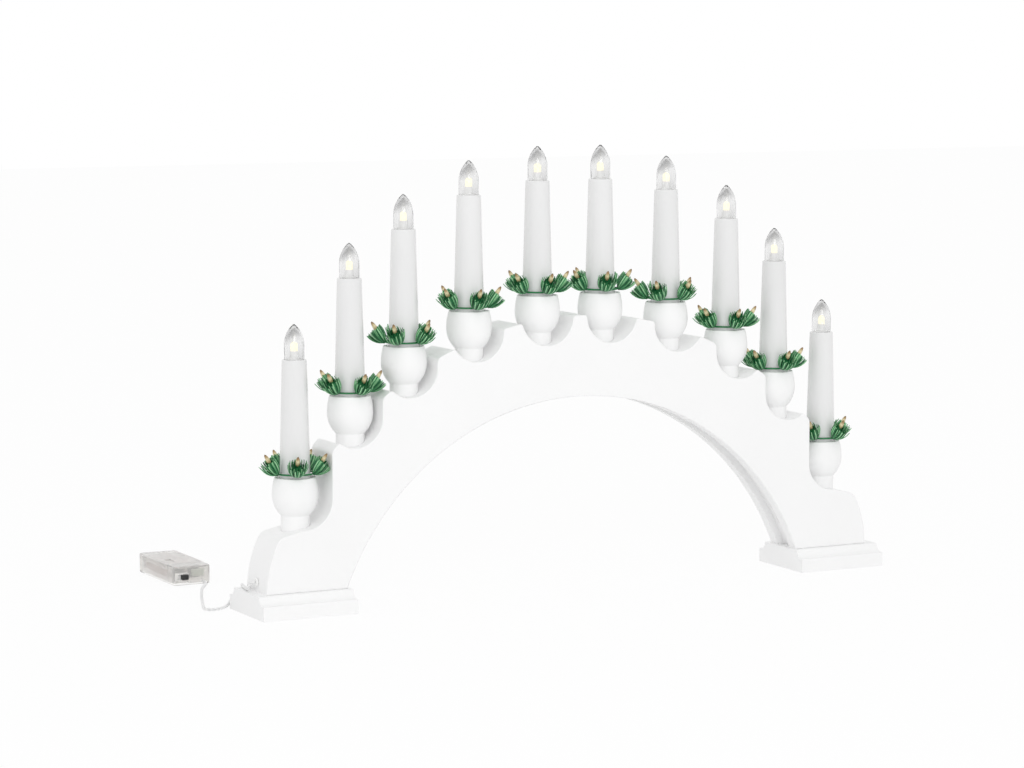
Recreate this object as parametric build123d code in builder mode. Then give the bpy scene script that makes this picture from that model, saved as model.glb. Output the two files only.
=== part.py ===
"""Candle arch with ten electric candles: a three-board arch on two feet, with a battery box on a cord.

Millimetres, +Z up, X along the arch, -Y the front. Origin: on the floor, under the middle of the arch.
"""

import math
import os

from build123d import *

os.makedirs("parts", exist_ok=True)

# Feet
foot_length = 67.6
foot_depth = 57.6
foot_height = 15.2
foot_face_height = 9.7
foot_ledge = 1.6
foot_top_inset = 7.4
foot_lip_height = 0.5
foot_cove_share = 0.2
foot_edge_round = 0.4
foot_toe = 2.2

# Arch boards
inner_radius = 187.7
outer_radius = 249.0
crown_height = 133.7
crown_thickness = 55.5
leg_width = 58.0
panel_thickness = 8.8
core_thickness = 16.2
channel_depth = 5.0
scallop_radius = 19.5
scallop_sink = 2.5
scallop_lean_shares = (0.02, 0.02, 0.02, 0.02, 0.0)
shoulder_drop = 3.9
leg_side_radius = 75.0
peak_round = 2.5
wall_round = 5.0
wall_round_share = 1.0
peak_round_share = 0.5
shoulder_round = 9.0
side_limit_share = 0.9
board_edge_round = 0.7

# Cups: where each stands along the outer curve, from the middle outwards
cup_reach_shares = (0.0976, 0.3064, 0.5016, 0.6606, 0.8213)
cup_rise_shares = (0.105, 0.178, 0.185, 0.097, -0.136)
cup_radius = 15.4
cup_rim_radius = 13.7
cup_upper_height = 11.5
cup_lower_height = 13.7
cup_neck_radius = 9.6
cup_seat_depth = 7.0
cup_seat_clearance = 0.15
cup_bore_radius = 3.0
cup_rim_round = 0.6
socket_depth = 12.0
socket_clearance = 0.2

# Candles and flame covers
candle_height = 77.8
candle_foot_radius = 10.6
candle_top_radius = 8.2
candle_wall = 1.2
candle_cap = 2.0
candle_edge_round = 0.7
flame_radius = 6.75
flame_height = 23.1
flame_straight = 9.5
flame_wall = 0.8
flame_tip_radius = 0.5

# Light sources
holder_radius = 2.9
holder_clearance = 0.1
holder_drop = 8.0
holder_rise = 5.6
holder_flange_radius = 4.4
holder_flange = 0.8
led_radius = 2.3
led_height = 6.2

# Wreaths
ring_radius = 12.4
ring_thickness = 1.7
ring_clearance = 0.05
tuft_count = 5
tuft_elevation = 54.0
tuft_base_radius = 1.4
tuft_base_length = 2.4
needle_count = 9
needle_length = 10.0
needle_start = 0.9
needle_width = 0.62
needle_taper = 0.8
needle_side_spread = 36.0
needle_lift_spread = 25.0
stem_radius = 0.5
stem_length = 5.1
cone_length = 8.0
cone_radius = 1.5
cone_foot_radius = 0.8
cone_tip_radius = 0.3
cone_sides = 8
cone_belly_share = 0.35
wreath_turns = (-108.0, -85.0, -134.0, -94.0, -89.0, -104.0, -138.0, -93.0, -89.0, -144.0)

# Screws through the feet
screw_radius = 2.0
screw_length = 38.0
screw_head_radius = 4.0
screw_head_height = 2.4
screw_recess = 0.8
screw_spread = 30.0
screw_setback = 5.0
screw_clearance = 0.05
screw_slot_width = 0.9
screw_slot_depth = 1.2

# Wiring and cord
wire_radius = 0.8
wire_gap = 0.2
wire_bend = 2.5
cord_radius = 1.1
cord_straight = 4.4
cord_hole_height = 21.5
bush_radius = 1.7
bush_bore_radius = 0.95
bush_depth = 5.0
bush_flange_radius = 2.8
bush_flange = 1.0
bush_clearance = 0.05

# Battery box: its place on the floor and its sizes
box_left_x = -241.8
box_end_y = 124.5
box_width = 27.4
box_length = 68.0
box_height = 13.2
box_wall = 1.5
box_floor = 1.2
box_corner_round = 3.0
box_edge_round = 0.9
switch_bay = 13.2
bay_wall = 1.0
lid_thickness = 1.3
lid_clearance = 0.2
rail_width = 1.0
rail_drop = 2.2
rail_lip = 0.5
rail_lip_height = 0.8
dimple_width = 5.0
dimple_length = 12.0
dimple_depth = 0.5
dimple_x_share = 0.29
dimple_y_share = 0.42

# Cells and their contacts
cell_radius = 5.25
cell_nub_radius = 1.9
cell_nub_length = 0.8
cell_gap = 0.3
cell_clearance = 0.1
contact_width = 8.0
contact_height = 7.4
contact_thickness = 0.5
spring_radius = 3.0
spring_wire_radius = 0.3
spring_turns = 4
spring_room = 7.8

# Slide switch
knob_width = 4.2
knob_height = 3.2
knob_reach = 1.6
knob_travel = 2.0
knob_clearance = 0.3
knob_x_share = 0.3
knob_z_share = 0.43
switch_width = 8.6
switch_height = 4.8
switch_depth = 3.6
switch_gap = 0.05
knob_bite = 1.0
board_width = 9.0
board_height = 5.0
board_thickness = 1.0
board_x_share = 0.66
board_z_share = 0.62
cord_x_share = 0.77
cord_box_height = 2.2

# Route of the cord on its way from the leg to the box: points in space, in order
cord_route = (
    (-238.6, 1.0, 17.2),
    (-236.6, 7.6, 16.5),
    (-235.4, 14.8, 16.5),
    (-233.9, 21.8, 16.5),
    (-231.2, 27.8, 15.2),
    (-227.4, 32.4, 10.2),
    (-223.4, 36.6, 5.0),
    (-220.2, 41.0, 2.0),
    (-217.6, 47.2, 1.3),
    (-220.4, 53.6, 1.2),
    (-227.0, 54.4, 1.2),
    (-231.6, 48.4, 1.2),
    (-234.8, 41.4, 1.2),
    (-238.8, 35.0, 1.2),
    (-243.4, 28.8, 1.2),
    (-248.0, 24.8, 1.2),
    (-253.6, 23.2, 1.2),
    (-258.4, 27.4, 1.2),
    (-255.2, 38.2, 1.2),
    (-249.8, 52.4, 1.2),
    (-244.0, 68.4, 1.2),
    (-237.6, 84.2, 1.2),
    (-231.0, 100.4, 1.2),
    (-225.2, 109.6, 1.6),
)

# Places that follow from the sizes
arch_centre_z = crown_height - inner_radius
outer_centre_z = crown_height + crown_thickness - outer_radius
leg_inner_x = math.sqrt(inner_radius**2 - (foot_height - arch_centre_z) ** 2)
leg_outer_x = leg_inner_x + leg_width
foot_inner_x = leg_inner_x - foot_toe
foot_centre_x = foot_inner_x + foot_length / 2
board_depth = core_thickness + 2 * panel_thickness
channel_radius = inner_radius + channel_depth
tolerance = 0.001


def ball_place(reach_share, rise_share):
    """Middle of a cup's widest ring, as X and Z."""
    x = outer_radius * reach_share
    z = outer_centre_z + math.sqrt(outer_radius**2 - x**2) + 2 * cup_radius * rise_share
    return x, z


right_balls = [ball_place(reach, rise) for reach, rise in zip(cup_reach_shares, cup_rise_shares)]
ball_places = [(-x, z) for x, z in reversed(right_balls)] + right_balls
lowest_ball_z = right_balls[-1][1]
neck_drop = scallop_radius + scallop_sink + cup_seat_depth
leaning_balls = list(zip(right_balls, scallop_lean_shares))
right_scallops = [(x * (1 + lean), z - scallop_sink) for (x, z), lean in leaning_balls]
scallop_places = [(side * x, z) for x, z in right_scallops for side in (-1, 1)]


def wall_height(x, z):
    """Height of a scallop's upright inner wall above the scallop's centre."""
    wall_x = abs(x) - scallop_radius
    return outer_centre_z + math.sqrt(outer_radius**2 - wall_x**2) - z


steep_places = [(x, z) for x, z in scallop_places if wall_height(x, z) > 2 * peak_round]
scallop_floor_z = lowest_ball_z - scallop_sink - scallop_radius
side_rise = min(scallop_floor_z - shoulder_drop - foot_height, leg_side_radius * side_limit_share)
shoulder_x = leg_outer_x - leg_side_radius + math.sqrt(leg_side_radius**2 - side_rise**2)
shoulder_z = foot_height + side_rise
shoulder_start_x = min(right_balls[-1][0], shoulder_x - shoulder_round)
wall_reaches = [x - scallop_radius for x, z in steep_places if x > 0]
seat_radius = cup_neck_radius + cup_seat_clearance
rim_to_ball = cup_upper_height
socket_radius = candle_foot_radius + socket_clearance
box_right_x = box_left_x + box_width
box_mid_x = box_left_x + box_width / 2
box_far_y = box_end_y + box_length


def save(builder, name):
    """Name a piece and write it to its own file."""
    builder.part.label = name
    export_step(builder.part, f"parts/{name}.step")


with BuildSketch() as shoulder_cut:
    with BuildLine():
        TangentArc((leg_outer_x, foot_height), (shoulder_x, shoulder_z), tangent=(0, 1))
        Polyline(
            (shoulder_x, shoulder_z),
            (shoulder_start_x, shoulder_z + shoulder_drop),
            (shoulder_start_x, outer_radius),
            (leg_outer_x + leg_width, outer_radius),
            (leg_outer_x + leg_width, foot_height),
            (leg_outer_x, foot_height),
        )
    make_face()
    fillet(shoulder_cut.vertices().sort_by_distance((shoulder_x, shoulder_z))[0], shoulder_round)
    mirror(about=Plane.YZ)


def draw_arch(sketch, opening_radius):
    """Draw the outline of one board of the arch in the open sketch."""
    with Locations((0, outer_centre_z)):
        Circle(outer_radius)
    with Locations((0, arch_centre_z)):
        Circle(opening_radius, mode=Mode.SUBTRACT)
    with Locations((0, foot_height)):
        Rectangle(2 * leg_outer_x, 2 * outer_radius, align=(Align.CENTER, Align.MIN), mode=Mode.INTERSECT)
    with Locations((-leg_outer_x, foot_height)):
        Rectangle(leg_outer_x - shoulder_start_x, side_rise + shoulder_drop, align=(Align.MIN, Align.MIN))
    with Locations((leg_outer_x, foot_height)):
        Rectangle(leg_outer_x - shoulder_start_x, side_rise + shoulder_drop, align=(Align.MAX, Align.MIN))
    with Locations(*scallop_places):
        Circle(scallop_radius, mode=Mode.SUBTRACT)
    with Locations(*steep_places):
        Rectangle(
            2 * scallop_radius,
            outer_radius,
            align=(Align.CENTER, Align.MIN),
            mode=Mode.SUBTRACT,
        )
    add(shoulder_cut.sketch, mode=Mode.SUBTRACT)

    def on_outer_curve(vertex):
        return abs(math.hypot(vertex.X, vertex.Y - outer_centre_z) - outer_radius) < tolerance

    def on_wall(vertex):
        return any(abs(abs(vertex.X) - reach) < tolerance for reach in wall_reaches)

    def on_scallop(vertex):
        reaches = [math.hypot(vertex.X - x, vertex.Y - z) for x, z in scallop_places]
        return any(abs(reach - scallop_radius) < tolerance for reach in reaches)

    rim_points = sketch.vertices().filter_by(on_outer_curve).sort_by(Axis.X)
    land = min((b - a).length for a, b in zip(map(Vector, rim_points), map(Vector, rim_points[1:])))
    fillet(rim_points.filter_by(on_wall), min(wall_round, land * wall_round_share))
    rim_points = sketch.vertices().filter_by(on_outer_curve).filter_by(on_scallop)
    fillet([v for v in rim_points if v.Y > lowest_ball_z], min(peak_round, land * peak_round_share))


def drill_seats():
    """Drill the round seats for the necks of the cups out of the open part."""
    with Locations(*[(x, 0, z - neck_drop) for x, z in ball_places]):
        Cylinder(
            seat_radius,
            neck_drop,
            align=(Align.CENTER, Align.CENTER, Align.MIN),
            mode=Mode.SUBTRACT,
        )


def towards_centre(x, z):
    """Plane at a seat's floor that faces the middle of the arch."""
    return Plane(origin=(x, 0, z), x_dir=(0, 1, 0), z_dir=(-x, 0, arch_centre_z - z))


# Front and back panels
with BuildPart() as front_panel:
    with BuildSketch(Plane.XZ.offset(core_thickness / 2)) as front_outline:
        draw_arch(front_outline, inner_radius)
    extrude(amount=panel_thickness)
    drill_seats()
    fillet(front_panel.faces().sort_by(Axis.Y)[0].edges(), board_edge_round)
save(front_panel, "front_panel")

with BuildPart() as back_panel:
    with BuildSketch(Plane.XZ.offset(-board_depth / 2)) as back_outline:
        draw_arch(back_outline, inner_radius)
    extrude(amount=panel_thickness)
    drill_seats()
    fillet(back_panel.faces().sort_by(Axis.Y)[-1].edges(), board_edge_round)
save(back_panel, "back_panel")

# Core board with the wire passages, the pilot holes and the cord hole
screw_places = [
    (side * (foot_centre_x + end * screw_spread / 2), -screw_setback) for side in (-1, 1) for end in (-1, 1)
]
with BuildPart() as core_board:
    with BuildSketch(Plane.XZ.offset(-core_thickness / 2)) as core_outline:
        draw_arch(core_outline, channel_radius)
    extrude(amount=core_thickness)
    drill_seats()
    for ball_x, ball_z in ball_places:
        with BuildSketch(towards_centre(ball_x, ball_z - neck_drop).offset(-2 * cup_bore_radius)):
            Circle(cup_bore_radius)
    extrude(amount=channel_radius, mode=Mode.SUBTRACT)
    with Locations(*[(x, y, foot_height) for x, y in screw_places]):
        Cylinder(
            screw_radius + screw_clearance,
            2 * (screw_length + screw_recess - foot_height) + 2 * screw_clearance,
            mode=Mode.SUBTRACT,
        )
    with BuildSketch(Plane.YZ.offset(-leg_inner_x)):
        with Locations((0, cord_hole_height)):
            Circle(bush_radius + bush_clearance)
    extrude(amount=-2 * leg_width, mode=Mode.SUBTRACT)
save(core_board, "core_board")


# Feet
def build_foot(side):
    """One coved foot with countersunk screw holes from below."""
    half = foot_depth / 2
    top_y = half - foot_top_inset
    ledge_y = half - foot_ledge
    cove_top = foot_height - foot_lip_height
    chord_y = ledge_y - top_y
    chord_z = cove_top - foot_face_height
    mid_y = (ledge_y + top_y) / 2 - foot_cove_share * chord_z
    mid_z = (foot_face_height + cove_top) / 2 - foot_cove_share * chord_y
    with BuildPart() as foot:
        with BuildSketch(Plane.YZ.offset(side * foot_centre_x - foot_length / 2)) as profile:
            with BuildLine():
                Polyline((0, 0), (half, 0), (half, foot_face_height), (ledge_y, foot_face_height))
                ThreePointArc((ledge_y, foot_face_height), (mid_y, mid_z), (top_y, cove_top))
                Polyline((top_y, cove_top), (top_y, foot_height), (0, foot_height), (0, 0))
            make_face()
            mirror(about=Plane.YZ)
            upper_corners = [v for v in profile.vertices() if v.Y > tolerance]
            face_corners = [v for v in upper_corners if abs(abs(v.X) - half) < tolerance]
            fillet(face_corners, foot_edge_round)
        extrude(amount=foot_length)
        for x, y in screw_places:
            if x * side > 0:
                with BuildSketch(Plane((x, y, 0))):
                    Circle(screw_radius + screw_clearance)
                extrude(amount=foot_height, mode=Mode.SUBTRACT)
                with BuildSketch(Plane((x, y, 0))):
                    Circle(screw_head_radius + screw_clearance)
                extrude(amount=screw_recess, mode=Mode.SUBTRACT)
                with Locations((x, y, screw_recess)):
                    Cone(
                        screw_head_radius + screw_clearance,
                        screw_radius + screw_clearance,
                        screw_head_height,
                        align=(Align.CENTER, Align.CENTER, Align.MIN),
                        mode=Mode.SUBTRACT,
                    )
    return foot


for foot_name, foot_side in (("left_foot", -1), ("right_foot", 1)):
    save(build_foot(foot_side), foot_name)

with BuildPart() as foot_screws:
    with Locations(*[(x, y, screw_recess) for x, y in screw_places]):
        Cylinder(screw_radius, screw_length, align=(Align.CENTER, Align.CENTER, Align.MIN))
        Cone(
            screw_head_radius,
            screw_radius,
            screw_head_height,
            align=(Align.CENTER, Align.CENTER, Align.MIN),
        )
        for slot_turn in (0, 90):
            Box(
                screw_head_radius,
                screw_slot_width,
                screw_slot_depth,
                rotation=(0, 0, slot_turn),
                align=(Align.CENTER, Align.CENTER, Align.MIN),
                mode=Mode.SUBTRACT,
            )
save(foot_screws, "foot_screws")


# Cups
def turned_plane(x):
    """Upright plane through a candle's axis, for turned outlines."""
    return Plane(origin=(x, 0, 0), x_dir=(1, 0, 0), z_dir=(0, -1, 0))


def upright_axis(x):
    """Upright axis of the candle that stands at X."""
    return Axis((x, 0, 0), (0, 0, 1))


def build_cup(x, ball_z):
    """One turned cup with a neck below and a socket above."""
    rim_z = ball_z + cup_upper_height
    junction_z = ball_z - cup_lower_height
    neck_z = ball_z - neck_drop
    socket_z = rim_z - socket_depth
    with BuildPart() as cup:
        with BuildSketch(turned_plane(x)) as profile:
            with BuildLine():
                TangentArc((cup_radius, ball_z), (cup_rim_radius, rim_z), tangent=(0, 1))
                TangentArc((cup_radius, ball_z), (cup_neck_radius, junction_z), tangent=(0, -1))
                Polyline(
                    (cup_neck_radius, junction_z),
                    (cup_neck_radius, neck_z),
                    (cup_bore_radius, neck_z),
                    (cup_bore_radius, socket_z),
                    (socket_radius, socket_z),
                    (socket_radius, rim_z),
                    (cup_rim_radius, rim_z),
                )
            make_face()
            fillet([v for v in profile.vertices() if v.Y > rim_z - tolerance], cup_rim_round)
        revolve(axis=upright_axis(x))
    return cup


# Candles
def build_candle(x, ball_z):
    """One tube candle, closed at the top but for the hole of the light's holder."""
    foot_z = ball_z + cup_upper_height - socket_depth
    top_z = ball_z + cup_upper_height + candle_height
    cap_z = top_z - candle_cap
    hole_radius = holder_radius + holder_clearance
    with BuildPart() as candle:
        with BuildSketch(turned_plane(x)) as profile:
            with BuildLine():
                Polyline(
                    (candle_foot_radius - candle_wall, foot_z),
                    (candle_foot_radius, foot_z),
                    (candle_top_radius, top_z),
                    (hole_radius, top_z),
                    (hole_radius, cap_z),
                    (candle_top_radius - candle_wall, cap_z),
                    (candle_foot_radius - candle_wall, foot_z),
                )
            make_face()
            top_corners = [v for v in profile.vertices() if v.Y > top_z - tolerance]
            outer_top = [v for v in top_corners if v.X > hole_radius + tolerance]
            fillet(outer_top, candle_edge_round)
        revolve(axis=upright_axis(x))
    return candle


# Flame covers
def flame_outline(radius, straight_z, tip_radius, tip_z):
    """Draw the pointed side of a flame cover from its straight part up to its tip."""
    TangentArc((radius, straight_z), (tip_radius, tip_z), tangent=(0, 1))


def build_flame(x, ball_z):
    """One hollow clear flame cover."""
    base_z = ball_z + cup_upper_height + candle_height
    straight_z = base_z + flame_straight
    tip_z = base_z + flame_height
    inner_radius_here = flame_radius - flame_wall
    inner_tip_z = tip_z - flame_height * flame_wall / flame_radius
    with BuildPart() as flame:
        with BuildSketch(turned_plane(x)):
            with BuildLine():
                Line((flame_radius, base_z), (flame_radius, straight_z))
                flame_outline(flame_radius, straight_z, flame_tip_radius, tip_z)
                Polyline(
                    (flame_tip_radius, tip_z),
                    (0, tip_z),
                    (0, inner_tip_z),
                    (flame_tip_radius, inner_tip_z),
                )
                flame_outline(inner_radius_here, straight_z, flame_tip_radius, inner_tip_z)
                Polyline((inner_radius_here, straight_z), (inner_radius_here, base_z), (flame_radius, base_z))
            make_face()
        revolve(axis=upright_axis(x))
    return flame


for number, (ball_x, ball_z) in enumerate(ball_places, start=1):
    save(build_cup(ball_x, ball_z), f"cup_{number}")
    save(build_candle(ball_x, ball_z), f"candle_{number}")
    save(build_flame(ball_x, ball_z), f"flame_{number}")

# Light holders and light sources
candle_tops = [(x, 0, z + cup_upper_height + candle_height) for x, z in ball_places]
with BuildPart() as led_holders:
    with Locations(*[(x, y, z - holder_drop) for x, y, z in candle_tops]):
        Cylinder(holder_radius, holder_drop + holder_rise, align=(Align.CENTER, Align.CENTER, Align.MIN))
    with Locations(*candle_tops):
        Cylinder(holder_flange_radius, holder_flange, align=(Align.CENTER, Align.CENTER, Align.MIN))
save(led_holders, "led_holders")

with BuildPart() as leds:
    with Locations(*[(x, y, z + holder_rise) for x, y, z in candle_tops]):
        Cylinder(led_radius, led_height - led_radius, align=(Align.CENTER, Align.CENTER, Align.MIN))
    with Locations(*[(x, y, z + holder_rise + led_height - led_radius) for x, y, z in candle_tops]):
        Sphere(led_radius)
save(leds, "leds")


# Wreaths: a ring with five tufts of needles; the gold cone in each tuft is a piece of its own
def tuft_directions(turn):
    """Outward, sideways and tuft directions for a tuft at this turn around the candle."""
    outward = Vector(math.cos(math.radians(turn)), math.sin(math.radians(turn)), 0)
    sideways = Vector(-outward.Y, outward.X, 0)
    rise = math.radians(tuft_elevation)
    along = outward * math.cos(rise) + Vector(0, 0, 1) * math.sin(rise)
    return outward, sideways, along


ring_height = ring_thickness / 2
tuft_turns = [360 / tuft_count * tuft for tuft in range(tuft_count)]
needle_planes = []
tuft_planes = []
for turn in tuft_turns:
    outward, sideways, along = tuft_directions(turn)
    lifted = along.cross(sideways)
    root = outward * ring_radius + Vector(0, 0, ring_height)
    tuft_planes.append(Plane(origin=root, x_dir=sideways, z_dir=along))
    for needle in range(needle_count):
        around = 2 * math.pi * needle / needle_count
        side_angle = math.radians(needle_side_spread) * math.cos(around)
        lift_angle = math.radians(needle_lift_spread) * math.sin(around)
        way = (along + sideways * math.tan(side_angle) + lifted * math.tan(lift_angle)).normalized()
        start = root + along * needle_start + way * needle_start
        needle_planes.append(Plane(origin=start, x_dir=sideways, z_dir=way))

with BuildPart() as wreath:
    with Locations((0, 0, ring_height)):
        Torus(ring_radius, ring_thickness / 2)
    with BuildSketch(*tuft_planes):
        Circle(tuft_base_radius)
    extrude(amount=tuft_base_length)
    with BuildSketch(*tuft_planes):
        Circle(stem_radius)
    extrude(amount=tuft_base_length + stem_length)
    with BuildSketch(*needle_planes):
        Rectangle(needle_width, needle_width)
    extrude(amount=needle_length, taper=needle_taper)

with BuildPart() as cone:
    belly_z = cone_length * cone_belly_share
    cone_sections = ((0, cone_foot_radius), (belly_z, cone_radius), (cone_length, cone_tip_radius))
    for section_z, section_radius in cone_sections:
        with BuildSketch(Plane.XY.offset(section_z)):
            RegularPolygon(section_radius, cone_sides)
    loft(ruled=True)

wreath_places = [
    Location((x, 0, z + cup_upper_height + ring_clearance), (0, 0, turn))
    for (x, z), turn in zip(ball_places, wreath_turns)
]
for number, place in enumerate(wreath_places, start=1):
    with BuildPart() as placed_wreath:
        with Locations(place):
            add(wreath.part)
    save(placed_wreath, f"wreath_{number}")

cone_lift = Location((0, 0, tuft_base_length + stem_length))
with BuildPart() as gold_cones:
    with Locations(*[place * plane.location * cone_lift for place in wreath_places for plane in tuft_planes]):
        add(cone.part)
save(gold_cones, "gold_cones")

# Wiring: one run along the groove, a branch up each cup and the lead to the bushing
wire_arc_radius = channel_radius - wire_radius - wire_gap
lead_angle = 180 - math.degrees(math.asin((cord_hole_height - arch_centre_z) / wire_arc_radius))
last_x, last_z = ball_places[-1]
last_angle = math.degrees(math.atan2(last_z - neck_drop - arch_centre_z, last_x))
bush_face_x = -leg_outer_x - bush_flange
lead_start = (wire_arc_radius * math.cos(math.radians(lead_angle)), 0, cord_hole_height)


def sweep_round(path, radius):
    """Sweep a round section along a path into the open part."""
    with BuildSketch(Plane(origin=path @ 0, z_dir=path % 0)) as section:
        Circle(radius)
    sweep(section.sketch, path=path)


with BuildPart() as wiring:
    with BuildLine(Plane.XZ) as run:
        CenterArc((0, arch_centre_z), wire_arc_radius, last_angle, lead_angle - last_angle)
    sweep_round(run.line, wire_radius)
    with BuildLine() as lead:
        Line(lead_start, (bush_face_x, 0, cord_hole_height))
    sweep_round(lead.line, wire_radius)
    with Locations(lead_start):
        Sphere(wire_radius)
    for (ball_x, ball_z), (top_x, top_y, top_z) in zip(ball_places, candle_tops):
        seat_z = ball_z - neck_drop
        to_run = wire_arc_radius / math.hypot(ball_x, seat_z - arch_centre_z)
        branch_start = (ball_x * to_run, 0, arch_centre_z + (seat_z - arch_centre_z) * to_run)
        with BuildLine() as branch:
            branch_end = (top_x, top_y, top_z - holder_drop)
            FilletPolyline(branch_start, (ball_x, 0, seat_z), branch_end, radius=wire_bend)
        sweep_round(branch.line, wire_radius)
save(wiring, "wiring")

# Bushing where the cord leaves the leg
with BuildPart() as cord_bushing:
    with BuildSketch(Plane.YZ.offset(-leg_outer_x)):
        with Locations((0, cord_hole_height)):
            Circle(bush_radius)
            Circle(bush_bore_radius, mode=Mode.SUBTRACT)
    extrude(amount=bush_depth)
    with BuildSketch(Plane.YZ.offset(-leg_outer_x)):
        with Locations((0, cord_hole_height)):
            Circle(bush_flange_radius)
            Circle(bush_bore_radius, mode=Mode.SUBTRACT)
    extrude(amount=-bush_flange)
save(cord_bushing, "cord_bushing")

# Cord
cord_end = (box_left_x + box_width * cord_x_share, box_end_y, cord_box_height)
cord_start = (bush_face_x, 0, cord_hole_height)
cord_out = (bush_face_x - cord_straight, 0, cord_hole_height)
cord_in = (cord_end[0], box_end_y - 2 * cord_straight, cord_box_height)
cord_points = [Vector(*p) for p in (cord_start, cord_out, *cord_route, cord_in, cord_end)]
cord_radii = []
arc_share = 0.45
for before, here, after in zip(cord_points, cord_points[1:], cord_points[2:]):
    turn = (here - before).get_angle(after - here)
    shorter = min((here - before).length, (after - here).length)
    cord_radii.append(arc_share * shorter / math.tan(math.radians(turn) / 2))
print("cord radii", [round(r, 1) for r in cord_radii])
with BuildPart() as cord:
    with BuildLine() as cord_path:
        FilletPolyline(*cord_points, radius=cord_radii)
    sweep_round(cord_path.line, cord_radius)
cord_length = sum(edge.length for edge in cord_path.edges())
print("cord length", round(cord_length, 1))
print("cord volume share", round(cord.part.volume / (math.pi * cord_radius**2 * cord_length), 4))
save(cord, "cord")

# Battery case
bay_end_y = box_end_y + switch_bay
cell_end_y = box_far_y - box_wall
lid_z = box_height - lid_thickness
rail_z = lid_z - rail_drop
knob_x = box_left_x + box_width * knob_x_share
knob_z = box_height * knob_z_share
slot_x = knob_x - knob_travel / 2
slot_width = knob_width + knob_travel + 2 * knob_clearance
slot_height = knob_height + 2 * knob_clearance
switch_z = knob_z - switch_height / 2
wall_face_y = box_end_y + box_wall


def block(low, high, mode=Mode.ADD):
    """Box between two opposite corners, in the open part."""
    size = [b - a for a, b in zip(low, high)]
    with Locations(tuple((a + b) / 2 for a, b in zip(low, high))):
        Box(*size, mode=mode)


inner_left_x = box_left_x + box_wall
inner_right_x = box_right_x - box_wall
with BuildPart() as battery_case:
    with BuildSketch():
        with Locations((box_mid_x, (box_end_y + box_far_y) / 2)):
            RectangleRounded(box_width, box_length, box_corner_round)
    extrude(amount=box_height)
    fillet(battery_case.faces().sort_by(Axis.Z)[0].edges(), box_edge_round)
    fillet(battery_case.faces().sort_by(Axis.Z)[-1].edges(), box_edge_round)
    block((inner_left_x, wall_face_y, box_floor), (inner_right_x, bay_end_y - bay_wall, lid_z), Mode.SUBTRACT)
    block((inner_left_x, bay_end_y, box_floor), (inner_right_x, cell_end_y, box_height), Mode.SUBTRACT)
    block((box_left_x, bay_end_y, lid_z), (box_right_x, box_far_y, box_height), Mode.SUBTRACT)
    block(
        (box_left_x, cell_end_y - lid_clearance, rail_z - lid_clearance),
        (box_right_x, box_far_y, box_height),
        Mode.SUBTRACT,
    )
    block(
        (inner_left_x - rail_lip - lid_clearance, bay_end_y, rail_z - lid_clearance),
        (inner_right_x + rail_lip + lid_clearance, cell_end_y, rail_z + rail_lip_height + lid_clearance),
        Mode.SUBTRACT,
    )
    block(
        (slot_x - slot_width / 2, box_end_y, knob_z - slot_height / 2),
        (slot_x + slot_width / 2, wall_face_y, knob_z + slot_height / 2),
        Mode.SUBTRACT,
    )
    block(
        (slot_x - switch_width / 2, wall_face_y, box_floor),
        (slot_x + switch_width / 2, wall_face_y + switch_depth, switch_z),
    )
save(battery_case, "battery_case")

# Sliding lid
lid_start_y = bay_end_y + lid_clearance
dimple_x = box_left_x + box_width * dimple_x_share
dimple_y = box_end_y + box_length * dimple_y_share
with BuildPart() as battery_lid:
    with BuildSketch(Plane.XY.offset(lid_z)) as lid_plate:
        with Locations((box_mid_x, (box_end_y + box_far_y) / 2)):
            RectangleRounded(box_width, box_length, box_corner_round)
        with Locations((box_mid_x, lid_start_y)):
            Rectangle(
                box_width,
                box_length,
                align=(Align.CENTER, Align.MIN),
                mode=Mode.INTERSECT,
            )
    extrude(amount=lid_thickness)
    for side, wall_x in ((1, inner_left_x), (-1, inner_right_x)):
        web_x = wall_x + side * lid_clearance
        block(
            (min(web_x, web_x + side * rail_width), lid_start_y, rail_z),
            (max(web_x, web_x + side * rail_width), cell_end_y, lid_z),
        )
        lip_x = wall_x - side * rail_lip
        block(
            (min(web_x, lip_x), lid_start_y, rail_z),
            (max(web_x, lip_x), cell_end_y, rail_z + rail_lip_height),
        )
    with BuildSketch(Plane.XY.offset(rail_z)):
        with Locations((box_mid_x, (box_end_y + box_far_y) / 2)):
            RectangleRounded(box_width, box_length, box_corner_round)
        with Locations((box_mid_x, cell_end_y)):
            Rectangle(box_width, box_wall, align=(Align.CENTER, Align.MIN), mode=Mode.INTERSECT)
    extrude(amount=rail_drop)
    with BuildSketch(Plane.XY.offset(box_height)):
        with Locations((dimple_x, dimple_y)):
            SlotOverall(dimple_length, dimple_width, rotation=90)
    extrude(amount=-dimple_depth, mode=Mode.SUBTRACT)
save(battery_lid, "battery_lid")

# Cells: the left one has its nub towards the switch, the right one away from it
cell_z = box_floor + cell_clearance + cell_radius
cell_step = cell_radius + cell_gap / 2
near_plate_y = bay_end_y + contact_thickness
far_plate_y = cell_end_y - contact_thickness
whole_cell = far_plate_y - near_plate_y - spring_room
cell_length = whole_cell - cell_nub_length
with BuildPart() as battery_cells:
    for side in (-1, 1):
        nub_y = near_plate_y if side < 0 else far_plate_y
        with BuildSketch(Plane((box_mid_x + side * cell_step, nub_y, cell_z), z_dir=(0, -side, 0))):
            Circle(cell_nub_radius)
        extrude(amount=whole_cell)
        with BuildSketch(
            Plane((box_mid_x + side * cell_step, nub_y - side * cell_nub_length, cell_z), z_dir=(0, -side, 0))
        ):
            Circle(cell_radius)
        extrude(amount=cell_length)
save(battery_cells, "battery_cells")


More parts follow.
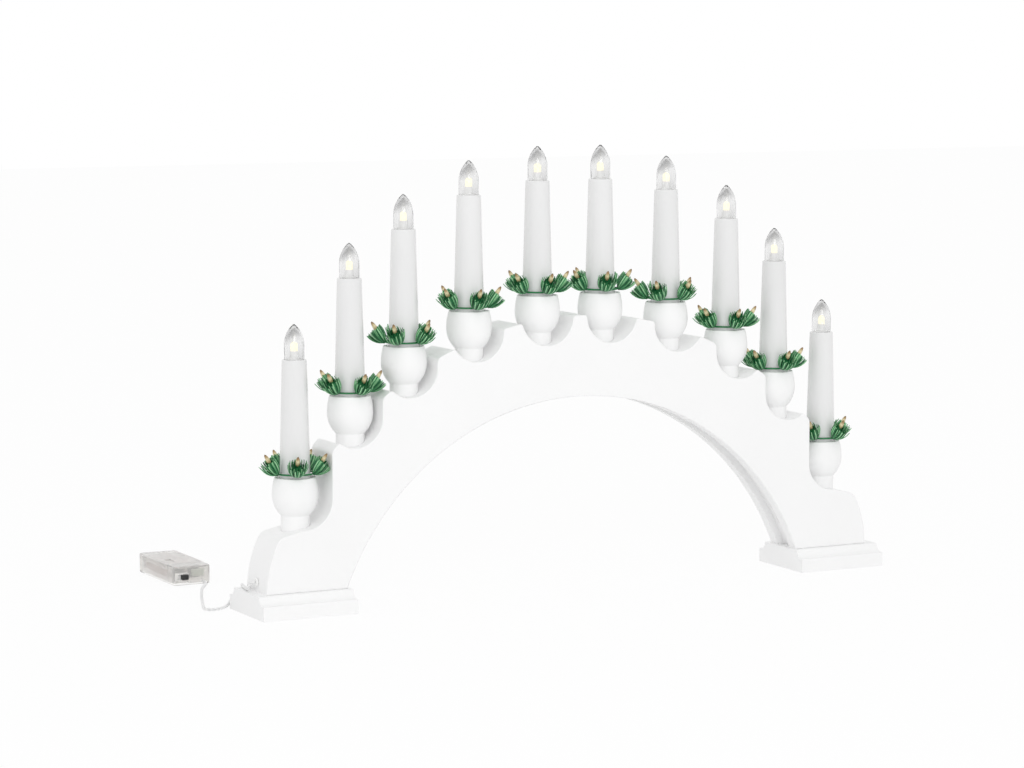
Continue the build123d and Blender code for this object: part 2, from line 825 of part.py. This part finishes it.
# Contacts: a bridge at the far end, two plates at the near end, a spring against each flat end
def spring_path(x, start_y, way, length):
    """Draw the spring's centre line, half turn by half turn."""
    quarters = 4 * spring_turns
    points = []
    for quarter in range(quarters + 1):
        angle = math.pi / 2 * quarter
        points.append(
            (
                x + spring_radius * math.cos(angle),
                start_y + way * length * quarter / quarters,
                cell_z + spring_radius * math.sin(angle),
            )
        )
    for first in range(0, quarters, 2):
        ThreePointArc(*points[first : first + 3])


plate_low_z = cell_z - contact_height / 2
plate_high_z = cell_z + contact_height / 2
with BuildPart() as battery_contacts:
    for side in (-1, 1):
        plate_x = box_mid_x + side * cell_step
        block(
            (plate_x - contact_width / 2, bay_end_y, plate_low_z),
            (plate_x + contact_width / 2, near_plate_y, plate_high_z),
        )
        plate_y = far_plate_y if side < 0 else near_plate_y
        with BuildLine() as coil:
            spring_path(plate_x, plate_y, side, spring_room - spring_wire_radius)
        sweep_round(coil.line, spring_wire_radius)
    block(
        (box_mid_x - cell_step - contact_width / 2, far_plate_y, plate_low_z),
        (box_mid_x + cell_step + contact_width / 2, cell_end_y, plate_high_z),
    )
save(battery_contacts, "battery_contacts")

# Slide switch
with BuildPart() as switch_body:
    block(
        (slot_x - switch_width / 2, wall_face_y, switch_z),
        (slot_x + switch_width / 2, wall_face_y + switch_depth, switch_z + switch_height),
    )
    block(
        (slot_x - slot_width / 2, wall_face_y, knob_z - slot_height / 2),
        (slot_x + slot_width / 2, wall_face_y + knob_bite + knob_clearance, knob_z + slot_height / 2),
        Mode.SUBTRACT,
    )
save(switch_body, "switch_body")

with BuildPart() as switch_knob:
    block(
        (knob_x - knob_width / 2, box_end_y - knob_reach, knob_z - knob_height / 2),
        (knob_x + knob_width / 2, wall_face_y + knob_bite, knob_z + knob_height / 2),
    )
save(switch_knob, "switch_knob")

# Small board that joins the cord to the contacts
board_x = box_left_x + box_width * board_x_share
board_z = box_height * board_z_share
with BuildPart() as joining_board:
    block(
        (board_x - board_width / 2, wall_face_y, board_z - board_height / 2),
        (board_x + board_width / 2, wall_face_y + board_thickness, board_z + board_height / 2),
    )
save(joining_board, "joining_board")
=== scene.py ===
import math
import random

import bmesh
import bpy
from mathutils import Matrix, Vector


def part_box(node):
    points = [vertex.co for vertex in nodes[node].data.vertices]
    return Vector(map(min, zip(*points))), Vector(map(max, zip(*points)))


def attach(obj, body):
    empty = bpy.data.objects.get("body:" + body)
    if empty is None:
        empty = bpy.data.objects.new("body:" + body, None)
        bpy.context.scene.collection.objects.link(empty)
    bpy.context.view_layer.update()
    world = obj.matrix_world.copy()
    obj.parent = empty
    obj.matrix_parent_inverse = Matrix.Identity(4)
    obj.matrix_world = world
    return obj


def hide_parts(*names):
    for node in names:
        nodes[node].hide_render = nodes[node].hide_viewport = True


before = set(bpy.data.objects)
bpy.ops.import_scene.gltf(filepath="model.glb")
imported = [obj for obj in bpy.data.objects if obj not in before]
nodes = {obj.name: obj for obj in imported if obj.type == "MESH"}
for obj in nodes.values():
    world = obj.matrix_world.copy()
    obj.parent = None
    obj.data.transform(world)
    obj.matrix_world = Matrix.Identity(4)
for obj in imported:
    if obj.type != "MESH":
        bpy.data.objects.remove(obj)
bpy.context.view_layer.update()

mm = 0.001
chance = random.Random(12)
scene = bpy.context.scene
scene.view_settings.view_transform = "Standard"
candle_numbers = range(1, 11)
noise_low = 0.3  # a noise mostly stays between these two
noise_high = 0.7


# Shader values and paints
class Value:
    """A number that varies over a surface; sums and products add Math nodes."""

    def __init__(self, paint, socket):
        self.paint = paint
        self.socket = socket

    def _math(self, operation, first, second):
        return self.paint.add("ShaderNodeMath", {"operation": operation}, {0: first, 1: second})

    def __add__(self, other):
        return self._math("ADD", self, other)

    def __sub__(self, other):
        return self._math("SUBTRACT", self, other)

    def __mul__(self, other):
        return self._math("MULTIPLY", self, other)


class Paint:
    """A material with one main shader and a method that adds any node."""

    def __init__(self, name, **fixed):
        self.material = bpy.data.materials.new(name)
        self.material.use_nodes = True
        self.tree = self.material.node_tree
        self.shader = self.tree.nodes["Principled BSDF"]
        for key, value in fixed.items():
            self.shader.inputs[key.replace("_", " ")].default_value = value

    def add(self, kind, settings=None, sockets=None, out=0):
        node = self.tree.nodes.new(kind)
        for key, value in (settings or {}).items():
            if key == "stops":
                ramp = node.color_ramp.elements
                while len(ramp) < len(value):
                    ramp.new(0.5)
                for stop, (place, colour) in zip(ramp, value):
                    stop.position = place
                    stop.color = colour
            else:
                setattr(node, key, value)
        for key, value in (sockets or {}).items():
            self.feed(node.inputs[key], value)
        return Value(self, node.outputs[out])

    def feed(self, socket, value):
        if isinstance(value, Value):
            self.tree.links.new(value.socket, socket)
        else:
            socket.default_value = value

    def set(self, **sockets):
        for key, value in sockets.items():
            self.feed(self.shader.inputs[key.replace("_", " ")], value)
        return self

    def place(self):
        return self.add("ShaderNodeTexCoord", out="Object")

    def stretched(self, x, y, z):
        return self.add("ShaderNodeMapping", sockets={"Vector": self.place(), "Scale": (x, y, z)})

    def noise(self, where, scale, detail=2.0):
        return self.add("ShaderNodeTexNoise", sockets={"Vector": where, "Scale": scale, "Detail": detail})

    def ramp(self, value, *stops):
        return self.add("ShaderNodeValToRGB", {"stops": stops}, {"Fac": value})

    def two_tone(self, value, low, high):
        """Blend two colours over a noise's usual range."""
        return self.ramp(value, (noise_low, low), (noise_high, high))

    def spread(self, value, to_low, to_high, low=noise_low, high=noise_high):
        """Carry a value from its usual range to another one."""
        sockets = {"Value": value, "From Min": low, "From Max": high, "To Min": to_low, "To Max": to_high}
        return self.add("ShaderNodeMapRange", sockets=sockets)

    def bump(self, height, distance, strength):
        sockets = {"Height": height, "Distance": distance, "Strength": strength}
        return self.add("ShaderNodeBump", sockets=sockets, out="Normal")

    def trait(self, name):
        return self.add("ShaderNodeAttribute", {"attribute_name": name}, out="Fac")

    def let_light_in(self, share):
        """Let soft light and shadow rays pass, so that what lies inside is lit."""
        rays = self.add("ShaderNodeLightPath", out="Is Shadow Ray")
        soft = Value(self, rays.socket.node.outputs["Is Diffuse Ray"])
        clear = self.add("ShaderNodeBsdfTransparent")
        body = Value(self, self.shader.outputs[0])
        mixed = self.add("ShaderNodeMixShader", sockets={0: (rays + soft) * share, 1: body, 2: clear})
        self.tree.links.new(mixed.socket, self.tree.nodes["Material Output"].inputs["Surface"])


def grey(level):
    """An opaque grey."""
    return (level, level, level, 1)


def painted_wood():
    """Satin white paint over smooth board: faint brush lines and soft blotches."""
    paint = Paint("painted_wood")
    blotch = paint.noise(paint.place(), 18.0, 3.0)
    lines = paint.noise(paint.stretched(60, 400, 400), 1.0)
    grain = paint.noise(paint.place(), 900.0)
    paint.set(
        Base_Color=paint.two_tone(blotch, grey(0.93), grey(0.945)),
        Roughness=paint.spread(lines, 0.42, 0.56),
        Normal=paint.bump(lines * 0.6 + grain * 0.4, 0.00004, 0.5),
    )
    return paint.material


def candle_plastic():
    """Satin moulded tube: even colour with very fine texture."""
    paint = Paint("candle_plastic")
    fine = paint.noise(paint.place(), 1400.0)
    soft = paint.noise(paint.stretched(40, 40, 9), 1.0)
    paint.set(
        Base_Color=paint.two_tone(soft, grey(0.80), grey(0.83)),
        Roughness=paint.spread(fine, 0.17, 0.25),
        Normal=paint.bump(fine, 0.00002, 0.4),
    )
    return paint.material


def clear_plastic():
    """Clear flame cover: faint upright streaks, with painted shade near the tip that reaches lower on the left
    side.
    """
    paint = Paint("clear_plastic", IOR=1.46, Transmission_Weight=1.0)
    streak = paint.noise(paint.stretched(900, 900, 40), 1.0)
    # Painted shade: the cover's colour goes grey just below the tip, lower on its left side and a little at its
    # foot, in place of refraction.
    tip = paint.trait("lift") - paint.trait("flank") * 0.16 + (streak - 0.5) * 0.35
    paint.set(
        Base_Color=paint.ramp(
            tip,
            (0.0, grey(0.84)), (0.2, grey(0.90)), (0.55, grey(0.93)),
            (0.78, grey(0.66)), (0.94, grey(0.62)), (1.0, grey(0.85)),
        ),
        Roughness=paint.spread(streak, 0.02, 0.07),
        Normal=paint.bump(streak, 0.0003, 0.35),
    )
    paint.let_light_in(0.9)
    return paint.material


def light_source():
    """Warm glowing light."""
    paint = Paint("light_source", Emission_Strength=0.75)
    cell = paint.noise(paint.place(), 700.0, 1.0)
    paint.set(
        Base_Color=paint.two_tone(cell, (0.50, 0.46, 0.34, 1), (0.56, 0.52, 0.40, 1)),
        Emission_Color=paint.two_tone(cell, (1.0, 0.93, 0.66, 1), (1.0, 0.97, 0.80, 1)),
    )
    return paint.material


def moulded(name, low, high, rough):
    """Plain moulded plastic between two colours."""
    paint = Paint(name)
    fine = paint.noise(paint.place(), 1200.0)
    soft = paint.noise(paint.place(), 90.0)
    paint.set(
        Base_Color=paint.two_tone(soft, (*low, 1), (*high, 1)),
        Roughness=paint.spread(fine, rough - 0.06, rough + 0.06),
        Normal=paint.bump(fine, 0.00002, 0.5),
    )
    return paint.material


def needle_paint():
    """Green needles: dark ones in varied greens, light ones as painted highlight, each lighter towards the tip.
    """
    paint = Paint("needle_paint")
    shade = paint.trait("shade")
    speck = paint.noise(paint.place(), 900.0)
    paint.set(
        Base_Color=paint.ramp(
            shade + (speck - 0.5) * 0.25,
            (0.0, (0.003, 0.045, 0.015, 1)),
            (0.35, (0.012, 0.150, 0.050, 1)),
            (0.65, (0.030, 0.255, 0.078, 1)),
            (1.0, (0.36, 0.70, 0.38, 1)),
        ),
        Roughness=paint.spread(speck, 0.36, 0.55),
    )
    return paint.material


def cone_paint():
    """Gold cones: brown at the root and the tip, pale gold between."""
    paint = Paint("cone_paint")
    shade = paint.trait("shade")
    speck = paint.noise(paint.place(), 1100.0)
    paint.set(
        Base_Color=paint.ramp(
            shade + (speck - 0.5) * 0.3,
            (0.0, (0.16, 0.09, 0.03, 1)),
            (0.3, (0.66, 0.52, 0.26, 1)),
            (0.6, (0.82, 0.72, 0.46, 1)),
            (0.82, (0.38, 0.25, 0.11, 1)),
            (1.0, (0.17, 0.10, 0.045, 1)),
        ),
        Metallic=paint.spread(shade, 0.30, 0.15, 0.0, 1.0),
        Roughness=paint.spread(speck, 0.32, 0.5),
        Normal=paint.bump(speck, 0.0001, 0.6),
    )
    return paint.material


def case_plastic():
    """See-through box plastic with a faint brown tint."""
    paint = Paint("case_plastic", IOR=1.40, Transmission_Weight=0.80)
    soft = paint.noise(paint.place(), 60.0)
    fine = paint.noise(paint.place(), 800.0)
    paint.set(
        Base_Color=paint.two_tone(soft, (0.885, 0.87, 0.85, 1), (0.935, 0.922, 0.905, 1)),
        Roughness=paint.spread(fine, 0.10, 0.20),
        Normal=paint.bump(fine, 0.00002, 0.4),
    )
    paint.let_light_in(0.85)
    return paint.material


def bright_steel():
    """Bright drawn metal."""
    paint = Paint("bright_steel")
    lines = paint.noise(paint.stretched(200, 2000, 2000), 1.0)
    paint.set(
        Base_Color=paint.two_tone(lines, grey(0.60), grey(0.74)),
        Metallic=paint.spread(lines, 0.95, 1.0),
        Roughness=paint.spread(lines, 0.22, 0.36),
    )
    return paint.material


def cord_paint():
    """White wire insulation, a little grey in the folds of the twist."""
    paint = Paint("cord_paint")
    fine = paint.noise(paint.place(), 1500.0)
    soft = paint.noise(paint.place(), 120.0)
    paint.set(
        Base_Color=paint.two_tone(soft, grey(0.82), grey(0.90)),
        Roughness=paint.spread(fine, 0.30, 0.45),
    )
    return paint.material


wood = painted_wood()
tube_white = candle_plastic()
clear = clear_plastic()
glow = light_source()
holder_white = moulded("holder_white", (0.92, 0.92, 0.91), (0.95, 0.95, 0.94), 0.4)
green = needle_paint()
gold = cone_paint()
case_clear = case_plastic()
steel = bright_steel()
jacket = moulded("cell_jacket", (0.42, 0.33, 0.30), (0.52, 0.42, 0.38), 0.35)
black = moulded("switch_black", (0.012, 0.012, 0.012), (0.025, 0.025, 0.025), 0.4)
board_tan = moulded("board_tan", (0.70, 0.73, 0.66), (0.78, 0.80, 0.74), 0.5)
wire_white = cord_paint()

finishes = {
    "front_panel": wood, "back_panel": wood, "core_board": wood, "left_foot": wood, "right_foot": wood,
    "foot_screws": steel, "led_holders": holder_white, "leds": glow, "wiring": wire_white,
    "cord_bushing": holder_white, "battery_case": case_clear, "battery_lid": case_clear, "battery_cells": jacket,
    "battery_contacts": steel, "switch_body": holder_white, "switch_knob": black, "joining_board": board_tan,
}
for number in candle_numbers:
    finishes[f"cup_{number}"] = wood
    finishes[f"candle_{number}"] = tube_white
    finishes[f"flame_{number}"] = clear
    mesh = nodes[f"flame_{number}"].data
    low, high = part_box(f"flame_{number}")
    # Height and side shares across each flame cover; the cover's material places its painted shade by them.
    lift = mesh.attributes.new("lift", "FLOAT", "POINT")
    flank = mesh.attributes.new("flank", "FLOAT", "POINT")
    for vert, tall, side in zip(mesh.vertices, lift.data, flank.data):
        tall.value = (vert.co.z - low[2]) / (high[2] - low[2])
        side.value = (2 * vert.co.x - low[0] - high[0]) / (high[0] - low[0])
for name, finish in finishes.items():
    mesh = nodes[name].data
    mesh.materials.clear()
    mesh.materials.append(finish)


# Making pieces
def as_mesh(bm, name):
    """Turn a bmesh into a mesh."""
    mesh = bpy.data.meshes.new(name)
    bm.to_mesh(mesh)
    bm.free()
    return mesh


def finish_piece(bm, name, material, body, smooth=True):
    """Turn a bmesh into a piece that rides on a body."""
    mesh = as_mesh(bm, name)
    for face in mesh.polygons:
        face.use_smooth = smooth
    mesh.materials.append(material)
    piece = bpy.data.objects.new(name, mesh)
    scene.collection.objects.link(piece)
    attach(piece, body)
    return piece


def add_mesh(bm, mesh, matrix):
    """Add a copy of a mesh to a bmesh at a place."""
    before = len(bm.verts)
    bm.from_mesh(mesh)
    bm.verts.ensure_lookup_table()
    bmesh.ops.transform(bm, matrix=matrix, verts=bm.verts[before:])


# Wreaths: a round ring with five full tufts of needles
ring_radius = 12.4 * mm
ring_lift = 2.5 * mm
ring_shade = 0.42
wire_radius = 0.62 * mm
rim_clearance = 0.05 * mm
tuft_count = 5
tuft_twist = 0.12
tuft_elevation = math.radians(57)
tuft_drop = 0.8 * mm
side_spread = math.radians(56)
lift_spread = math.radians(42)
drop_spread = math.radians(68)
root_side = 1.7 * mm
root_lift = 0.9 * mm
needle_reach = 12.9 * mm
needle_girth = 0.54 * mm
needle_bend = math.radians(58)
needle_start = 0.7 * mm
needle_width_share = 1.2
needle_depth_share = 0.7
needle_tip_share = 0.55
needle_lightening = 0.36
place_jitter = 0.25
spread_jitter = (0.92, 1.05)
length_jitter = (0.86, 1.0)
hub_radius = 1.0 * mm
hub_top_radius = 1.3 * mm
hub_height = 2.4 * mm
hub_shade = 0.15
cone_length = 8.6 * mm
cone_girth = 1.5 * mm
cone_start = 8.4 * mm
cone_root_share = 1.12
cone_taper_share = 0.3
tuft_rings = ((30, 1.0), (26, 0.8), (20, 0.58), (12, 0.34), (5, 0.12))
dark_tones = (0.0, 0.05, 0.1, 0.18, 0.28)
# Light needle tones are painted highlight, not the needles' own colour.
painted_highlight_tones = (0.5, 0.62, 0.74)
wreath_turns = (-108, -85, -134, -94, -89, -104, -138, -93, -89, -144)


def needle_mesh():
    """One flat needle that starts along +Z and curls away from +Y."""
    bm = bmesh.new()
    shade = bm.verts.layers.float.new("shade")
    bmesh.ops.create_cone(
        bm, cap_ends=True, segments=4, radius1=needle_girth,
        radius2=needle_girth * needle_tip_share, depth=needle_reach,
    )
    sides = [edge for edge in bm.edges if edge.calc_length() > needle_reach / 2]
    bmesh.ops.subdivide_edges(bm, edges=sides, cuts=4)
    for vert in bm.verts:
        share = vert.co.z / needle_reach + 0.5
        vert[shade] = share
        curl = needle_bend * share
        middle = Vector((0, math.cos(curl) - 1, math.sin(curl))) * needle_reach / needle_bend
        across = Vector((0, math.cos(curl), math.sin(curl))) * vert.co.y * needle_depth_share
        vert.co = middle + across + Vector((vert.co.x * needle_width_share, 0, 0))
    return as_mesh(bm, "needle")


def tuft_mesh(needle):
    """One tuft, its root at the origin and its middle along +Z; X runs sideways, Y lifts."""
    bm = bmesh.new()
    bm.verts.layers.float.new("shade")
    tones = []
    for ring, (count, share) in enumerate(tuft_rings):
        for place in range(count):
            around = 2 * math.pi * (place + 0.5 * ring + chance.uniform(-place_jitter, place_jitter)) / count
            up = math.sin(around)
            side = side_spread * share * math.cos(around) * chance.uniform(*spread_jitter)
            lift = (lift_spread if up > 0 else drop_spread) * share * up * chance.uniform(*spread_jitter)
            lean = math.hypot(side, lift)
            out = Vector((side, lift, 0)) / lean
            way = out * math.sin(lean) + Vector((0, 0, math.cos(lean)))
            away = out * math.cos(lean) - Vector((0, 0, math.sin(lean)))
            turn = Matrix((away.cross(way), away, way)).transposed().to_4x4()
            size = Matrix.Scale(chance.uniform(*length_jitter), 4, (0, 0, 1))
            size = size @ Matrix.Scale(share, 4, (0, 1, 0))
            root = Vector((root_side * math.cos(around), root_lift * up, 0)) * share
            add_mesh(bm, needle, Matrix.Translation(root + Vector((0, 0, needle_start))) @ turn @ size)
            # Some outer needles take a painted highlight tone, the rest a dark green tone.
            tones.append(chance.choice(painted_highlight_tones if ring < 2 and place % 2 else dark_tones))
    shade = bm.verts.layers.float["shade"]
    each = len(needle.vertices)
    for index, vert in enumerate(bm.verts):
        vert[shade] = tones[index // each] + needle_lightening * vert[shade]
    made = bmesh.ops.create_cone(
        bm, cap_ends=True, segments=10, radius1=hub_radius, radius2=hub_top_radius, depth=hub_height
    )
    for vert in made["verts"]:
        vert[shade] = hub_shade
    bmesh.ops.translate(bm, vec=(0, 0, hub_height / 2), verts=made["verts"])
    return as_mesh(bm, "tuft")


def ring_mesh():
    """The ring: a round green wire just above the cup's rim."""
    bm = bmesh.new()
    shade = bm.verts.layers.float.new("shade")
    made = bmesh.ops.create_circle(bm, segments=10, radius=wire_radius)
    bmesh.ops.rotate(bm, cent=(0, 0, 0), matrix=Matrix.Rotation(math.pi / 2, 3, "X"), verts=made["verts"])
    bmesh.ops.translate(bm, vec=(ring_radius, 0, ring_lift), verts=made["verts"])
    bmesh.ops.spin(
        bm, geom=bm.edges[:], cent=(0, 0, 0), axis=(0, 0, 1), angle=2 * math.pi, steps=64, use_merge=True
    )
    bmesh.ops.recalc_face_normals(bm, faces=bm.faces[:])
    for vert in bm.verts:
        vert[shade] = ring_shade
    return as_mesh(bm, "ring")


def cone_mesh():
    """One gold cone along +Z, its root at the origin."""
    bm = bmesh.new()
    shade = bm.verts.layers.float.new("shade")
    bmesh.ops.create_uvsphere(bm, u_segments=12, v_segments=10, radius=1.0)
    for vert in bm.verts:
        height = (vert.co.z + 1) / 2
        vert[shade] = height
        girth = cone_girth * (cone_root_share - cone_taper_share * height)
        vert.co = Vector((vert.co.x * girth, vert.co.y * girth, height * cone_length))
    return as_mesh(bm, "cone")


def tuft_frame(turn):
    """Matrix from a tuft's own frame to the wreath's."""
    outward = Vector((math.cos(turn), math.sin(turn), 0))
    sideways = Vector((-outward.y, outward.x, 0))
    along = outward * math.cos(tuft_elevation) + Vector((0, 0, 1)) * math.sin(tuft_elevation)
    lifted = along.cross(sideways)
    root = outward * ring_radius + Vector((0, 0, ring_lift - tuft_drop))
    matrix = Matrix((sideways, lifted, along)).transposed().to_4x4()
    return Matrix.Translation(root) @ matrix


tuft = tuft_mesh(needle_mesh())
ring = ring_mesh()
cone = cone_mesh()
cones = bmesh.new()
for number, degrees in zip(candle_numbers, wreath_turns):
    low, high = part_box(f"cup_{number}")
    rim = Matrix.Translation(((low[0] + high[0]) / 2, (low[1] + high[1]) / 2, high[2] + rim_clearance))
    bm = bmesh.new()
    add_mesh(bm, ring, rim)
    for step in range(tuft_count):
        place = rim @ tuft_frame(math.radians(degrees + 360 / tuft_count * step))
        add_mesh(bm, tuft, place @ Matrix.Rotation(chance.uniform(-tuft_twist, tuft_twist), 4, "Z"))
        add_mesh(cones, cone, place @ Matrix.Translation((0, 0, cone_start)))
    wreath = finish_piece(bm, f"tufts_{number}", green, "arch", smooth=False)
    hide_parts(f"wreath_{number}")
cone_piece = finish_piece(cones, "cones", gold, "arch")
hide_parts("gold_cones")

# Cord: a twisted pair along one smooth line
cord_route = (
    (-233.5, 0.0, 21.5), (-237.9, 0.0, 21.5), (-238.6, 1.0, 17.2), (-236.6, 7.6, 16.5), (-235.4, 14.8, 16.5),
    (-233.9, 21.8, 16.5), (-231.2, 27.8, 15.2), (-227.4, 32.4, 10.2), (-223.4, 36.6, 5.0), (-220.2, 41.0, 2.0),
    (-217.6, 47.2, 1.3), (-220.4, 53.6, 1.2), (-227.0, 54.4, 1.2), (-231.6, 48.4, 1.2), (-234.8, 41.4, 1.2),
    (-238.8, 35.0, 1.2), (-243.4, 28.8, 1.2), (-248.0, 24.8, 1.2), (-253.6, 23.2, 1.2), (-258.4, 27.4, 1.2),
    (-255.2, 38.2, 1.2), (-249.8, 52.4, 1.2), (-244.0, 68.4, 1.2), (-237.6, 84.2, 1.2), (-231.0, 100.4, 1.2),
    (-225.2, 109.6, 1.6), (-220.7, 115.7, 2.2), (-220.7, 124.5, 2.2),
)
cord_diameter = 2.2 * mm
strand_radius = cord_diameter / 4
twist_pitch = 7.0 * mm


def spline_points():
    """Points along the route's smooth line."""
    curve = bpy.data.curves.new("cord_line", "CURVE")
    curve.dimensions = "3D"
    curve.resolution_u = 12
    spline = curve.splines.new("NURBS")
    spline.points.add(len(cord_route) - 1)
    for point, spot in zip(spline.points, cord_route):
        point.co = (*(Vector(spot) * mm), 1)
    spline.order_u = 3
    spline.use_endpoint_u = True
    line = bpy.data.objects.new("cord_line", curve)
    mesh = bpy.data.meshes.new_from_object(line)
    points = [vert.co.copy() for vert in mesh.vertices]
    bpy.data.objects.remove(line)
    bpy.data.meshes.remove(mesh)
    return points


def strand_points(points, phase):
    """Points of one strand, wound about the line."""
    side = Vector((0, 0, 1))
    run = 0.0
    spots = []
    for index, point in enumerate(points):
        ahead = points[min(index + 1, len(points) - 1)] - points[max(index - 1, 0)]
        ahead.normalize()
        side = (side - ahead * side.dot(ahead)).normalized()
        if index:
            run += (point - points[index - 1]).length
        angle = phase + 2 * math.pi * run / twist_pitch
        other = ahead.cross(side)
        spots.append(point + (side * math.cos(angle) + other * math.sin(angle)) * strand_radius)
    return spots


def strand_mesh(spots):
    """A round strand along the given points."""
    curve = bpy.data.curves.new("strand", "CURVE")
    curve.dimensions = "3D"
    curve.bevel_depth = strand_radius
    curve.bevel_resolution = 2
    curve.use_fill_caps = True
    spline = curve.splines.new("POLY")
    spline.points.add(len(spots) - 1)
    for point, spot in zip(spline.points, spots):
        point.co = (*spot, 1)
    strand = bpy.data.objects.new("strand", curve)
    mesh = bpy.data.meshes.new_from_object(strand)
    bpy.data.objects.remove(strand)
    return mesh


cord_line = spline_points()
cord_bm = bmesh.new()
for phase in (0.0, math.pi):
    add_mesh(cord_bm, strand_mesh(strand_points(cord_line, phase)), Matrix())
cord_piece = finish_piece(cord_bm, "twisted_cord", wire_white, "arch")
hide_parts("cord")

# Floor, world, lamp and camera
floor_half_width = 6.0
floor_white_share = 0.9
world_light = 0.845
aim_height = 0.14


def studio_floor():
    """A pale floor that keeps the shadow."""
    bm = bmesh.new()
    bmesh.ops.create_grid(bm, x_segments=1, y_segments=1, size=floor_half_width)
    mesh = as_mesh(bm, "studio_floor")
    paint = Paint("floor_white", Base_Color=grey(0.97), Roughness=0.9)
    tree = paint.tree
    rays = tree.nodes.new("ShaderNodeLightPath")
    seen = Value(paint, rays.outputs["Is Camera Ray"]) + Value(paint, rays.outputs["Is Glossy Ray"])
    seen = seen + Value(paint, rays.outputs["Is Transmission Ray"])
    white = paint.add("ShaderNodeEmission", sockets={"Color": grey(1.0), "Strength": 1.0})
    mixed = paint.add(
        "ShaderNodeMixShader",
        sockets={0: seen * floor_white_share, 1: Value(paint, paint.shader.outputs[0]), 2: white},
    )
    tree.links.new(mixed.socket, tree.nodes["Material Output"].inputs["Surface"])
    mesh.materials.append(paint.material)
    floor = bpy.data.objects.new("studio_floor", mesh)
    scene.collection.objects.link(floor)


def studio_world():
    """White to the eye and in reflections, a softer grey as light."""
    world = bpy.data.worlds.new("studio_world")
    scene.world = world
    world.use_nodes = True
    tree = world.node_tree
    back = tree.nodes["Background"]
    rays = tree.nodes.new("ShaderNodeLightPath")
    first = tree.nodes.new("ShaderNodeMath")
    first.operation = "MAXIMUM"
    second = tree.nodes.new("ShaderNodeMath")
    second.operation = "MAXIMUM"
    level = tree.nodes.new("ShaderNodeMapRange")
    tree.links.new(rays.outputs["Is Camera Ray"], first.inputs[0])
    tree.links.new(rays.outputs["Is Glossy Ray"], first.inputs[1])
    tree.links.new(first.outputs[0], second.inputs[0])
    tree.links.new(rays.outputs["Is Transmission Ray"], second.inputs[1])
    tree.links.new(second.outputs[0], level.inputs["Value"])
    level.inputs["To Min"].default_value = world_light
    level.inputs["To Max"].default_value = 1.0
    tree.links.new(level.outputs[0], back.inputs["Strength"])
    back.inputs["Color"].default_value = (1, 1, 1, 1)


def soft_lamp(name, spot, size, power):
    """A large square lamp that faces the middle of the arch."""
    light = bpy.data.lights.new(name, "AREA")
    light.size = size
    light.energy = power
    lamp = bpy.data.objects.new(name, light)
    lamp.location = spot
    lamp.rotation_euler = (Vector((0, 0, aim_height)) - Vector(spot)).to_track_quat("-Z", "Y").to_euler()
    scene.collection.objects.link(lamp)


studio_floor()
studio_world()
soft_lamp("key", (-0.75, -1.9, 1.14), 0.9, 8.7)
lens = bpy.data.cameras.new("camera")
lens.sensor_width = 36.0
lens.lens = 115.05
camera = bpy.data.objects.new("camera", lens)
camera.location = (-1.05815, -1.96130, 0.39307)
camera.rotation_euler = (math.pi / 2 - 0.1129, 0, -0.47735)
scene.collection.objects.link(camera)
scene.camera = camera
